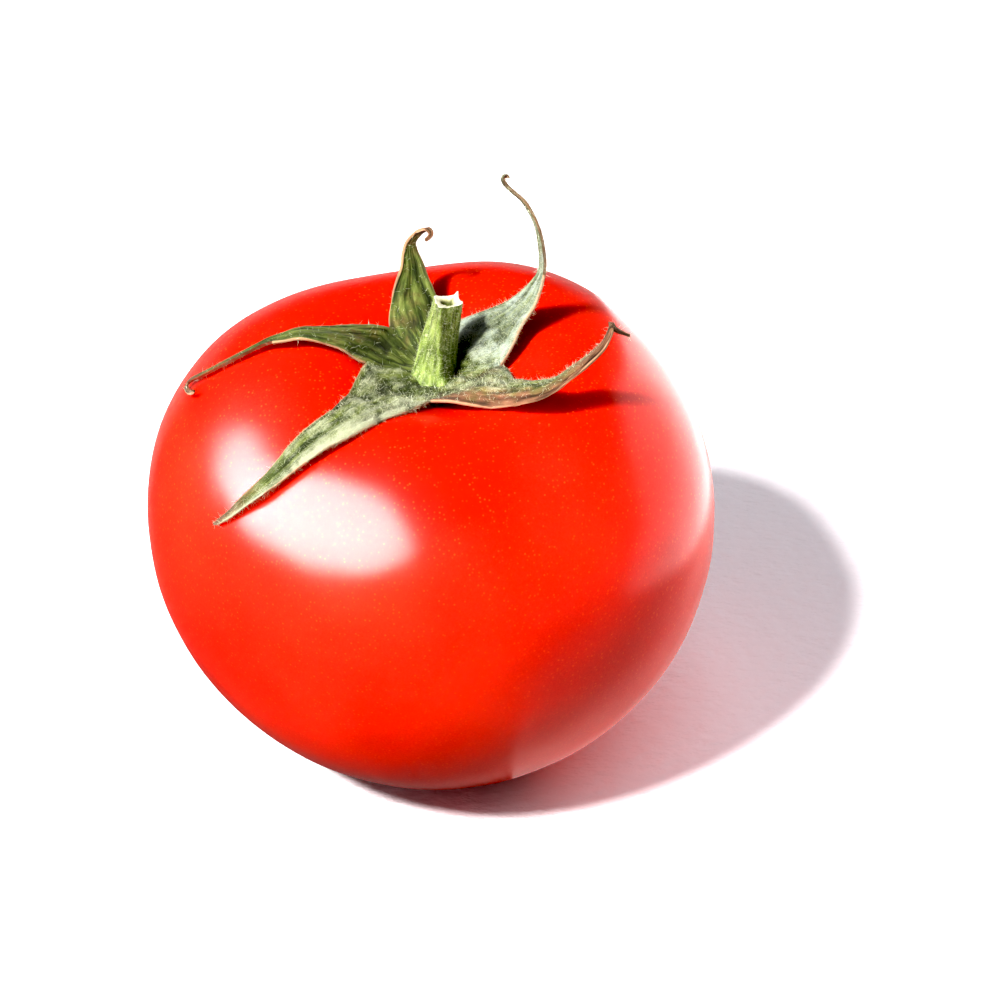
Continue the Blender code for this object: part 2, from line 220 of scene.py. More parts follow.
def add(tree, kind, inputs=None, stops=(), **settings):
    """Adds a node with its settings and links. Stops are the (place, colour code) pairs of a colour ramp."""
    node = tree.nodes.new(kind)
    for key, value in settings.items():
        setattr(node, key, value)
    for number, (place, code) in enumerate(stops):
        elements = node.color_ramp.elements
        element = elements[number] if number < len(elements) else elements.new(place)
        element.position = place
        element.color = to_linear(code)
    fill(tree, node, inputs or {})
    return node


def add_object(name, mesh):
    made = bpy.data.objects.new(name, mesh)
    bpy.context.scene.collection.objects.link(made)
    return made


def place_piece(piece, node):
    """Makes a piece stand for a node of the frame and ride with it."""
    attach(piece, "root")
    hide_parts(node)


def plain_mesh(piece):
    """A plain mesh of an object with its modifiers worked out."""
    bpy.context.view_layer.update()
    return bpy.data.meshes.new_from_object(piece.evaluated_get(bpy.context.evaluated_depsgraph_get()))


def marked_mesh(name, points, faces, marks, map_name, maps):
    """A mesh with named numbers and a UV place at each of its points."""
    mesh = bpy.data.meshes.new(name)
    mesh.from_pydata(points, [], faces)
    for label, numbers in marks.items():
        mesh.attributes.new(label, "FLOAT", "POINT").data.foreach_set("value", numbers)
    uv = mesh.uv_layers.new(name=map_name)
    for loop in mesh.loops:
        uv.data[loop.index].uv = maps[loop.vertex_index]
    return mesh


def run_tree(base, tree, name, values):
    """Runs a geometry tree on an object and returns its result as a new plain object."""
    modifier = base.modifiers.new(tree.name, "NODES")
    modifier.node_group = tree
    for item in tree.interface.items_tree:
        if item.item_type == "SOCKET" and item.in_out == "INPUT" and item.name in values:
            modifier[item.identifier] = values[item.name]
    mesh = plain_mesh(base)
    base.modifiers.remove(modifier)
    mesh.name = name
    return add_object(name, mesh)


def start_tree(name, numbers, whole_numbers=()):
    """A geometry tree with a mesh input, named number inputs and a mesh output."""
    tree = bpy.data.node_groups.new(name, "GeometryNodeTree")
    tree.interface.new_socket("Geometry", in_out="INPUT", socket_type="NodeSocketGeometry")
    for number in numbers:
        tree.interface.new_socket(number, in_out="INPUT", socket_type="NodeSocketFloat")
    for number in whole_numbers:
        tree.interface.new_socket(number, in_out="INPUT", socket_type="NodeSocketInt")
    tree.interface.new_socket("Geometry", in_out="OUTPUT", socket_type="NodeSocketGeometry")
    given = add(tree, "NodeGroupInput")
    result = add(tree, "NodeGroupOutput")
    return tree, given, result


def start_material(name, constants):
    """A material with its Principled shader and the constants on the shader's own sockets."""
    material = bpy.data.materials.new(name)
    material.use_nodes = True
    tree = material.node_tree
    shader = tree.nodes["Principled BSDF"]
    fill(tree, shader, constants)
    return material, tree, shader


def make_skin_material():
    """Ripe tomato skin: a thin, clear, waxy skin over red flesh.

    Light spreads through the flesh and comes out deep red, which softens shadows on it. The wax gives broad
    blurred reflections, and small pale specks lie under the skin, thickest round the stalk.
    """
    material, tree, shader = start_material("ripe tomato skin", {
        "Roughness": 0.24,
        "IOR": 1.30,
        "Subsurface Weight": 0.8,
        "Subsurface Radius": (1.0, 0.12, 0.05),
        "Subsurface Scale": 0.0032,
    })
    place = add(tree, "ShaderNodeTexCoord").outputs["Object"]
    # Broad patches of riper and less ripe flesh, about 20 mm across, and the fine grain of cells of 0.25 mm
    patches, cell_grain = [add(tree, "ShaderNodeTexNoise", {
        "Vector": place, "Scale": scale, "Detail": 2.0, "Roughness": roughness,
    }) for scale, roughness in ((48.0, 0.45), (4000.0, 0.6))]
    tone = add(tree, "ShaderNodeMath", {0: cell_grain.outputs["Fac"], 1: 0.35, 2: patches.outputs["Fac"]},
               operation="MULTIPLY_ADD")
    # Painted shade: the shoulders round the stalk are a deeper red, where less light falls on the top
    height = add(tree, "ShaderNodeSeparateXYZ", {"Vector": place})
    painted_shoulder_shade = add(tree, "ShaderNodeMapRange", {
        "Value": height.outputs["Z"], "From Min": 0.048, "From Max": 0.056, "To Max": -0.25,
    })
    tone = add(tree, "ShaderNodeMath", {0: tone.outputs[0], 1: painted_shoulder_shade.outputs[0]}, operation="ADD")
    flesh = add(tree, "ShaderNodeValToRGB", {"Fac": tone.outputs[0]}, stops=[
        (0.50, "#D82E1E"), (0.85, "#F0442C"),
    ])
    # Specks under the skin: cells 0.55 mm apart, each with a dot of up to 0.3 mm, some plainer than others
    cells = add(tree, "ShaderNodeTexVoronoi", {"Vector": place, "Scale": 1800.0})
    cell_kind = add(tree, "ShaderNodeSeparateColor", {"Color": cells.outputs["Color"]})
    dot = add(tree, "ShaderNodeMapRange", {
        "Value": cells.outputs["Distance"], "From Min": 0.30, "From Max": 0.08,
    })
    chosen = add(tree, "ShaderNodeMapRange", {
        "Value": cell_kind.outputs["Red"], "From Max": 0.9, "To Max": 0.8,
    })
    specks = add(tree, "ShaderNodeMath", {0: dot.outputs[0], 1: chosen.outputs[0]}, operation="MULTIPLY")
    upper = add(tree, "ShaderNodeMapRange", {
        "Value": height.outputs["Z"], "From Min": 0.022, "From Max": 0.052, "To Min": 0.35, "To Max": 1.0,
    })
    speck_share = add(tree, "ShaderNodeMath", {0: specks.outputs[0], 1: upper.outputs[0]},
                      operation="MULTIPLY")
    speckled = add(tree, "ShaderNodeMix", {
        0: speck_share.outputs[0], 6: flesh.outputs["Color"], 7: to_linear("#FF7032"),
    }, data_type="RGBA")
    # Blossom end: a corky brown scar 3 mm across in the middle of the underside
    scar_middle = add(tree, "ShaderNodeVectorMath", {0: place, 1: (-0.0004, 0.0026, 0.0)},
                      operation="DISTANCE")
    scar = add(tree, "ShaderNodeMapRange", {
        "Value": scar_middle.outputs["Value"], "From Min": 0.0017, "From Max": 0.0011,
    })
    coloured = add(tree, "ShaderNodeMix", {
        0: scar.outputs[0], 6: speckled.outputs[2], 7: to_linear("#5A3A1E"),
    }, data_type="RGBA")
    fill(tree, shader, {"Base Color": coloured.outputs[2]})
    # The wax is faintly uneven, in grains of about 0.4 mm
    grain = add(tree, "ShaderNodeTexNoise", {
        "Vector": place, "Scale": 2400.0, "Detail": 2.0, "Roughness": 0.6,
    })
    bump = add(tree, "ShaderNodeBump", {"Height": grain.outputs["Fac"], "Strength": 0.12, "Distance": 0.0001})
    fill(tree, shader, {"Normal": bump.outputs["Normal"]})
    return material


def make_sepal_material():
    """Dried tomato sepal: a thin leaf under matted white wool.

    It is creased along its length, green at its root and brown at its tip. The wool lies in clumps, and the
    leaf is darkened with painted shade in the hollows between them.
    """
    material, tree, shader = start_material("dried tomato sepal", {
        "Roughness": 0.75,
        "IOR": 1.4,
        "Specular IOR Level": 0.15,
        "Sheen Weight": 0.15,
        "Sheen Roughness": 0.45,
    })
    place = add(tree, "ShaderNodeTexCoord")
    dry, wool, across, hollow = [
        add(tree, "ShaderNodeAttribute", attribute_name=name).outputs["Fac"] for name in SEPAL_MARKS
    ]
    # The map holds millimetres along the sepal and shares of its width across it, so creases run to the tip
    stretched = add(tree, "ShaderNodeMapping", {"Vector": place.outputs["UV"], "Scale": (0.16, 2.4, 1.0)})
    creases = add(tree, "ShaderNodeTexNoise", {
        "Vector": stretched.outputs[0], "Scale": 1.6, "Detail": 5.0, "Roughness": 0.62, "Distortion": 0.4,
    })
    leaf = add(tree, "ShaderNodeValToRGB", {"Fac": creases.outputs["Fac"]}, stops=[
        (0.36, "#2C3614"), (0.48, "#505C26"), (0.62, "#7A8446"),
    ])
    straw = add(tree, "ShaderNodeValToRGB", {"Fac": creases.outputs["Fac"]}, stops=[
        (0.36, "#3C2A1C"), (0.48, "#6E4E38"), (0.62, "#947054"),
    ])
    dry_patches = add(tree, "ShaderNodeTexNoise", {
        "Vector": place.outputs["Object"], "Scale": 500.0, "Detail": 3.0, "Roughness": 0.6,
    })
    dry_edge = add(tree, "ShaderNodeMath", {0: dry_patches.outputs["Fac"], 1: dry}, operation="ADD")
    dry_share = add(tree, "ShaderNodeMapRange", {
        "Value": dry_edge.outputs[0], "From Min": 0.75, "From Max": 1.25,
    })
    # Matted wool: clumps of 1 to 3 mm, made of wisps of 0.2 to 0.4 mm and fine threads along the leaf
    clumps = add(tree, "ShaderNodeTexNoise", {
        "Vector": place.outputs["Object"], "Scale": 420.0, "Detail": 2.0, "Roughness": 0.5, "Distortion": 0.8,
    })
    wisps = add(tree, "ShaderNodeTexNoise", {
        "Vector": place.outputs["Object"],
        "Scale": 2400.0, "Detail": 4.0, "Roughness": 0.75, "Distortion": 1.5,
    })
    thread_map = add(tree, "ShaderNodeMapping", {"Vector": place.outputs["UV"], "Scale": (1.4, 22.0, 1.0)})
    threads = add(tree, "ShaderNodeTexNoise", {
        "Vector": thread_map.outputs[0], "Scale": 1.2, "Detail": 3.0, "Roughness": 0.7, "Distortion": 1.2,
    })
    cover = wool
    for amount, pattern in ((0.7, clumps), (0.9, wisps), (1.1, threads)):
        cover = add(tree, "ShaderNodeMath", {0: pattern.outputs["Fac"], 1: amount, 2: cover},
                    operation="MULTIPLY_ADD").outputs[0]
    # Painted shade: the hollows also lose wool, so more dark leaf shows in them
    cover = add(tree, "ShaderNodeMath", {0: hollow, 1: -0.6, 2: cover}, operation="MULTIPLY_ADD").outputs[0]
    wool_share = add(tree, "ShaderNodeMapRange", {
        "Value": cover, "From Min": 1.60, "From Max": 2.20, "To Max": 0.85,
    })
    # Painted sheen: the freshest wool is coloured silvery blue, and it turns straw yellow as the sepal dries
    silvery_sheen = add(tree, "ShaderNodeMapRange", {
        "Value": dry, "From Min": -0.3, "From Max": 0.0, "To Min": 1.0, "To Max": 0.0,
    })
    wool_colour = add(tree, "ShaderNodeMix", {
        0: silvery_sheen.outputs[0], 6: to_linear("#B8BCA2"), 7: to_linear("#B6C0B8"),
    }, data_type="RGBA")
    # The margin is a thin pale rim where the leaf has dried to parchment
    edge = add(tree, "ShaderNodeMath", {0: across}, operation="ABSOLUTE")
    rim = add(tree, "ShaderNodeMapRange", {
        "Value": edge.outputs[0], "From Min": 0.93, "To Max": 0.75,
    })
    # Painted shade: the hollows between the clumps are darkened
    shade = add(tree, "ShaderNodeMapRange", {
        "Value": hollow, "From Min": 0.25, "From Max": 0.9, "To Max": 0.75,
    })
    colour = leaf.outputs["Color"]
    for share, over in (
        (dry_share, straw.outputs["Color"]), (wool_share, wool_colour.outputs[2]),
        (rim, to_linear("#C4A080")), (shade, to_linear("#1E220C")),
    ):
        colour = add(tree, "ShaderNodeMix", {0: share.outputs[0], 6: colour, 7: over},
                     data_type="RGBA").outputs[2]
    fill(tree, shader, {"Base Color": colour})
    relief = creases.outputs["Fac"]
    for amount, pattern in ((1.2, clumps), (0.7, wisps), (0.25, threads)):
        relief = add(tree, "ShaderNodeMath", {0: pattern.outputs["Fac"], 1: amount, 2: relief},
                     operation="MULTIPLY_ADD").outputs[0]
    bump = add(tree, "ShaderNodeBump", {"Height": relief, "Strength": 0.55, "Distance": 0.0004})
    fill(tree, shader, {"Normal": bump.outputs["Normal"]})
    return material


def make_stalk_material():
    """Green tomato stalk: juicy, angular and hairy, with a torn end of white fibre round a hole of pith."""
    material, tree, shader = start_material("green tomato stalk", {
        "Roughness": 0.55,
        "IOR": 1.42,
        "Specular IOR Level": 0.15,
        "Sheen Weight": 0.15,
        "Sheen Roughness": 0.5,
    })
    place = add(tree, "ShaderNodeTexCoord")
    torn = add(tree, "ShaderNodeAttribute", attribute_name="torn").outputs["Fac"]
    stretched = add(tree, "ShaderNodeMapping", {"Vector": place.outputs["UV"], "Scale": (0.22, 1.1, 1.0)})
    streaks = add(tree, "ShaderNodeTexNoise", {
        "Vector": stretched.outputs[0], "Scale": 1.6, "Detail": 5.0, "Roughness": 0.6,
    })
    green = add(tree, "ShaderNodeValToRGB", {"Fac": streaks.outputs["Fac"]}, stops=[
        (0.36, "#465418"), (0.50, "#6C7E34"), (0.64, "#96A65C"),
    ])
    # Tufts of hair about 0.5 mm across
    tufts = add(tree, "ShaderNodeTexNoise", {
        "Vector": place.outputs["Object"],
        "Scale": 2000.0, "Detail": 4.0, "Roughness": 0.75, "Distortion": 1.0,
    })
    tuft_share = add(tree, "ShaderNodeMapRange", {
        "Value": tufts.outputs["Fac"], "From Min": 0.50, "From Max": 0.72, "To Max": 0.7,
    })
    woolly = add(tree, "ShaderNodeMix", {
        0: tuft_share.outputs[0], 6: green.outputs["Color"], 7: to_linear("#C0C8A0"),
    }, data_type="RGBA")
    # The torn end, from its rim of white fibre to the green pith in the hole
    fibre = add(tree, "ShaderNodeValToRGB", {"Fac": torn}, stops=[
        (0.0, "#96A850"), (0.2, "#F0EEE0"), (0.45, "#E8E6CC"),
        (0.62, "#BEBE90"), (0.8, "#4E5620"), (1.0, "#8A9054"),
    ])
    is_torn = add(tree, "ShaderNodeMapRange", {"Value": torn, "From Min": 0.02, "From Max": 0.18})
    coloured = add(tree, "ShaderNodeMix", {
        0: is_torn.outputs[0], 6: woolly.outputs[2], 7: fibre.outputs["Color"],
    }, data_type="RGBA")
    fill(tree, shader, {"Base Color": coloured.outputs[2]})
    relief = add(tree, "ShaderNodeMath", {0: streaks.outputs["Fac"], 1: 1.5, 2: tufts.outputs["Fac"]},
                 operation="MULTIPLY_ADD")
    bump = add(tree, "ShaderNodeBump", {"Height": relief.outputs[0], "Strength": 0.6, "Distance": 0.0002})
    fill(tree, shader, {"Normal": bump.outputs["Normal"]})
    return material


def make_hair_material():
    """Tomato leaf hair: a clear, hollow hair that glints white."""
    return start_material("tomato leaf hair", {
        "Base Color": to_linear("#CED2B4"),
        "Roughness": 0.35,
        "IOR": 1.4,
    })[0]


def make_paper_material():
    """White drawing paper: matte, with a faint grain of pressed fibres.

    It throws less light back on the fruit than it shows, as a small sheet does, and its mirror image in the
    skin is dimmest at the front left.
    """
    material, tree, shader = start_material("white drawing paper", {
        "Base Color": to_linear("#E6E4E8"),
        "Roughness": 0.9,
        "IOR": 1.3,
    })
    place = add(tree, "ShaderNodeTexCoord").outputs["Object"]
    # Fibres about 1.4 mm apart and twice as long as wide, coarser than real ones so that they show
    turned = add(tree, "ShaderNodeMapping", {
        "Vector": place, "Rotation": (0.0, 0.0, -0.6), "Scale": (0.5, 1.0, 1.0),
    })
    fibres = add(tree, "ShaderNodeTexNoise", {
        "Vector": turned.outputs[0], "Scale": 700.0, "Detail": 3.0, "Roughness": 0.6,
    })
    bump = add(tree, "ShaderNodeBump", {"Height": fibres.outputs["Fac"], "Strength": 0.9, "Distance": 0.0004})
    fill(tree, shader, {"Normal": bump.outputs["Normal"]})
    path = add(tree, "ShaderNodeLightPath")
    beyond = add(tree, "ShaderNodeVectorMath", {0: place, 1: (0.75, 0.66, 0.0)}, operation="DOT_PRODUCT")
    mirrored = add(tree, "ShaderNodeMapRange", {
        "Value": beyond.outputs["Value"],
        "From Min": -0.030, "From Max": -0.008, "To Min": 0.06, "To Max": 0.28,
    })
    level = add(tree, "ShaderNodeMix", {
        0: path.outputs["Is Glossy Ray"], 6: to_linear("#504E4E"), 7: mirrored.outputs[0],
    }, data_type="RGBA")
    dim = add(tree, "ShaderNodeBsdfDiffuse", {"Color": level.outputs[2]})
    mixed = add(tree, "ShaderNodeMixShader", {
        0: path.outputs["Is Camera Ray"], 1: dim.outputs[0], 2: shader.outputs[0],
    })
    fill(tree, tree.nodes["Material Output"], {"Surface": mixed.outputs[0]})
    return material


def make_fruit_tree(material):
    """The fruit's shape as a geometry tree: a sheet of rings and sides, wrapped round by a formula."""
    tree, given, result = start_tree("tomato fruit", FRUIT_SHAPE, ("rings", "sides"))
    sheet = add(tree, "GeometryNodeMeshGrid", {
        "Vertices X": given.outputs["rings"], "Vertices Y": given.outputs["sides"],
    })
    flat = add(tree, "ShaderNodeSeparateXYZ", {"Vector": add(tree, "GeometryNodeInputPosition").outputs[0]})
    values = {name: given.outputs[name] for name in FRUIT_SHAPE}
    values.update({"sheet x": flat.outputs["X"], "sheet y": flat.outputs["Y"]})
    # Each step is a name, what it starts from, and then its operations in turn
    steps = [
        ("polar", "sheet x", "ADD", 0.5, "POWER", "ring crowding", "MULTIPLY", math.pi),
        ("azimuth", "sheet y", "ADD", 0.5, "MULTIPLY", math.tau),
        ("along", "polar", "COSINE", 0.0),
        ("across", "polar", "SINE", 0.0, "MAXIMUM", 0.0),
        ("radius", "across", "POWER", "side fullness", "MULTIPLY", "equator radius"),
        ("upper", "along", "MAXIMUM", 0.0, "POWER", "top fullness", "MULTIPLY", "top height"),
        ("lower", "along", "MULTIPLY", -1.0, "MAXIMUM", 0.0, "POWER", "bottom fullness",
         "MULTIPLY", "bottom height"),
        ("height", "upper", "SUBTRACT", "lower"),
        ("is upper", "along", "GREATER_THAN", 0.0),
        ("nearness", "radius", "DIVIDE", "hollow radius"),
        ("hollow", "nearness", "MULTIPLY", "nearness", "MULTIPLY", -1.0, "EXPONENT", 0.0,
         "MULTIPLY", "is upper"),
        ("beside hollow", 1.0, "SUBTRACT", "hollow"),
        ("shoulder", "along", "ADD", 1.0, "MULTIPLY", 0.5, "MULTIPLY", "beside hollow"),
        ("waist", "across", "MULTIPLY", "across"),
        ("swell", 1.0, "ADD", 0.0),
    ]
    for part, waves in (("shoulder", SHOULDER_LOBES), ("waist", WAIST_LOBES)):
        for count, share, peak in waves:
            steps += [
                ("wave", "azimuth", "SUBTRACT", math.radians(peak), "MULTIPLY", float(count), "COSINE", 0.0,
                 "MULTIPLY", share, "MULTIPLY", part),
                ("swell", "swell", "ADD", "wave"),
            ]
    steps += [
        ("radius", "radius", "MULTIPLY", "swell"),
        ("side x", "azimuth", "COSINE", 0.0, "MULTIPLY", "radius"),
        ("side y", "azimuth", "SINE", 0.0, "MULTIPLY", "radius"),
        ("sink", "hollow depth", "MULTIPLY", "hollow"),
        ("height", "height", "MULTIPLY", "swell", "SUBTRACT", "sink"),
        ("to left", "lean to left", "MULTIPLY", -1.0),
        ("is lower", 1.0, "SUBTRACT", "is upper"),
        ("scar reach", "radius", "DIVIDE", "scar radius"),
        ("scar rise", "scar reach", "MULTIPLY", "scar reach", "MULTIPLY", -1.0, "EXPONENT", 0.0,
         "MULTIPLY", "is lower", "MULTIPLY", "scar depth"),
    ]
    for name, first, *operations in steps:
        value = values.get(first, first)
        for operation, second in zip(operations[::2], operations[1::2]):
            value = add(tree, "ShaderNodeMath", {0: value, 1: values.get(second, second)},
                        operation=operation).outputs[0]
        values[name] = value
    upright = add(tree, "ShaderNodeCombineXYZ", {
        "X": values["side x"], "Y": values["side y"], "Z": values["height"],
    })
    lean = add(tree, "ShaderNodeCombineXYZ", {"X": values["lean to front"], "Y": values["to left"]})
    leaning = add(tree, "ShaderNodeVectorRotate", {
        "Vector": upright.outputs[0], "Rotation": lean.outputs[0],
    }, rotation_type="EULER_XYZ")
    # Slight unevenness of a grown skin, in waves about 11 mm long
    wave_scale = add(tree, "ShaderNodeMath", {0: 1.0, 1: values["wave length"]}, operation="DIVIDE")
    waves = add(tree, "ShaderNodeTexNoise", {
        "Vector": leaning.outputs[0], "Scale": wave_scale.outputs[0], "Detail": 1.0,
    }, normalize=False)
    wave_rise = add(tree, "ShaderNodeMath", {0: waves.outputs["Fac"], 1: values["wave height"]},
                    operation="MULTIPLY")
    outward = add(tree, "ShaderNodeVectorMath", {0: leaning.outputs[0]}, operation="NORMALIZE")
    shift = add(tree, "ShaderNodeVectorMath", {0: outward.outputs[0], "Scale": wave_rise.outputs[0]},
                operation="SCALE")
    waved = add(tree, "ShaderNodeVectorMath", {0: leaning.outputs[0], 1: shift.outputs[0]}, operation="ADD")
    # Stand it on the paper, with a flat resting spot and a dimple for the scar
    parts = add(tree, "ShaderNodeSeparateXYZ", {"Vector": waved.outputs[0]})
    height = parts.outputs["Z"]
    for operation, name in (("ADD", "middle height"), ("MAXIMUM", 0.0), ("ADD", "scar rise")):
        height = add(tree, "ShaderNodeMath", {0: height, 1: values.get(name, name)},
                     operation=operation).outputs[0]
    standing = add(tree, "ShaderNodeCombineXYZ", {
        "X": parts.outputs["X"], "Y": parts.outputs["Y"], "Z": height,
    })
    metres = add(tree, "ShaderNodeVectorMath", {0: standing.outputs[0], "Scale": MM}, operation="SCALE")
    wrapped = add(tree, "GeometryNodeSetPosition", {
        "Geometry": sheet.outputs["Mesh"], "Position": metres.outputs[0],
    })
    closed = add(tree, "GeometryNodeMergeByDistance", {"Geometry": wrapped.outputs[0], "Distance": 1e-7})
    smooth = add(tree, "GeometryNodeSetShadeSmooth", {"Geometry": closed.outputs[0]})
    plain = add(tree, "GeometryNodeRealizeInstances", {"Geometry": smooth.outputs[0]})
    dressed = add(tree, "GeometryNodeSetMaterial", {"Geometry": plain.outputs[0], "Material": material})
    fill(tree, result, {"Geometry": dressed.outputs[0]})
    return tree


def make_fruit(material):
    tree = make_fruit_tree(material)
    seed = add_object("fruit start", bpy.data.meshes.new("fruit start"))
    fruit = run_tree(seed, tree, "tomato_skin", {
        **FRUIT_SHAPE, "rings": FRUIT_RINGS + 1, "sides": FRUIT_SIDES + 1,
    })
    bpy.data.objects.remove(seed)
    place_piece(fruit, "fruit")
    return fruit


def skin_tree(fruit):
    """The skin as a search tree in millimetres."""
    points = [vertex.co / MM for vertex in fruit.data.vertices]
    return BVHTree.FromPolygons(points, [tuple(face.vertices) for face in fruit.data.polygons])


def smooth_rows(rows, count, begins=None):
    """Evenly spaced rows of numbers on a smooth curve through the given ones; the first three are a place.

    With a test, the curve begins at the first row that passes it.
    """
    rows = np.array(rows, dtype=float)
    ends = np.vstack([2 * rows[0] - rows[1], rows, 2 * rows[-1] - rows[-2]])
    fine = []
    for i in range(len(rows) - 1):
        a, b, c, d = ends[i:i + 4]
        for s in np.linspace(0, 1, 24, endpoint=False):
            fine.append(0.5 * (2 * b + (c - a) * s + (2 * a - 5 * b + 4 * c - d) * s ** 2
                               + (3 * b - a - 3 * c + d) * s ** 3))
    fine.append(rows[-1])
    fine = np.array(fine)
    if begins:
        fine = fine[int(np.argmax([begins(row) for row in fine])):]
    length = np.concatenate([[0], np.cumsum(np.linalg.norm(np.diff(fine[:, :3], axis=0), axis=1))])
    places = np.linspace(0, length[-1], count)
    return np.array([np.interp(places, length, column) for column in fine.T]).T, places


def unit(vector):
    return vector / max(np.linalg.norm(vector), 1e-9)


def rough(x, y, seed):
    """Soft noise from -1 to 1."""
    return noise.noise(Vector((x, y, 7.31 * seed)))


def clump(point):
    """How high the matted wool stands at a place, from about -1 in the hollows to 1 on the clumps."""
    place = Vector(point)
    return 1.2 * noise.noise(place * 0.6) + 0.8 * noise.noise(place * 1.4 + Vector((9.0, 0.0, 0.0)))


def sepal_grid(index, name, skin):
    """One sepal as rows of points from the arc between its notches to its tip."""
    look = SEPAL_LOOKS[name]
    axis = np.array([*CALYX_AXIS, 0.0])
    before, after = NOTCHES[index], NOTCHES[(index + 1) % len(NOTCHES)]
    notches = []
    for azimuth, distance, lift in (before, after):
        turn = math.radians(azimuth)
        x = axis[0] + distance * math.cos(turn)
        y = axis[1] + distance * math.sin(turn)
        notches.append(np.array([x, y, skin_height(skin, x, y) + lift]))
    begin = 0.5 * (before[1] + after[1]) - NOTCH_OVERLAP
    stations = [(*station, 0.0)[:5] for station in SEPALS[name]]
    rows, places = smooth_rows(stations, ALONG, lambda row: math.dist(row[:2], CALYX_AXIS) > begin)
    middle = rows[0, :3]
    shares = np.linspace(-1, 1, ACROSS + 1)
    grid = np.zeros((ALONG, ACROSS + 1, 3))
    for i, row in enumerate(rows):
        centre = row[:3]
        forward = unit(rows[min(i + 1, ALONG - 1), :3] - rows[max(i - 1, 0), :3])
        outward = unit(np.array([centre[0] - axis[0], centre[1] - axis[1], 0.0]))
        beside = np.array([-outward[1], outward[0], 0.0])
        beside = unit(beside - forward * beside.dot(forward))
        turn = Matrix.Rotation(math.radians(row[4]), 3, Vector(forward))
        beside = np.array(turn @ Vector(beside))
        up = unit(np.cross(forward, beside))
        half = row[3]
        blend = min(places[i] / BASE_BLEND, 1.0)
        blend = blend * blend * (3 - 2 * blend)
        share_along = places[i] / places[-1]
        for j, share in enumerate(shares):
            # Seen from the stalk, shares run from the right margin (-1) to the left one (1)
            over = max(-share - FOLD_START, 0.0) * look["fold"] * min(1.0, 6 * share_along)
            side = share + 0.75 * over
            rise = look["cup"] * half * share * share - 0.9 * half * over
            section = centre + beside * half * side + up * rise
            root = 0.5 * (1 + share) * notches[1] + 0.5 * (1 - share) * notches[0]
            root = root + (middle - 0.5 * (notches[0] + notches[1])) * (1 - share * share)
            moved = root + (centre - middle)
            grid[i, j] = moved * (1 - blend) + section * blend
    return grid, rows, places


def skin_height(skin, x, y):
    """The height of the skin at one place, from above."""
    hit = skin.ray_cast(Vector((x, y, 200.0)), Vector((0.0, 0.0, -1.0)))
    return hit[0].z


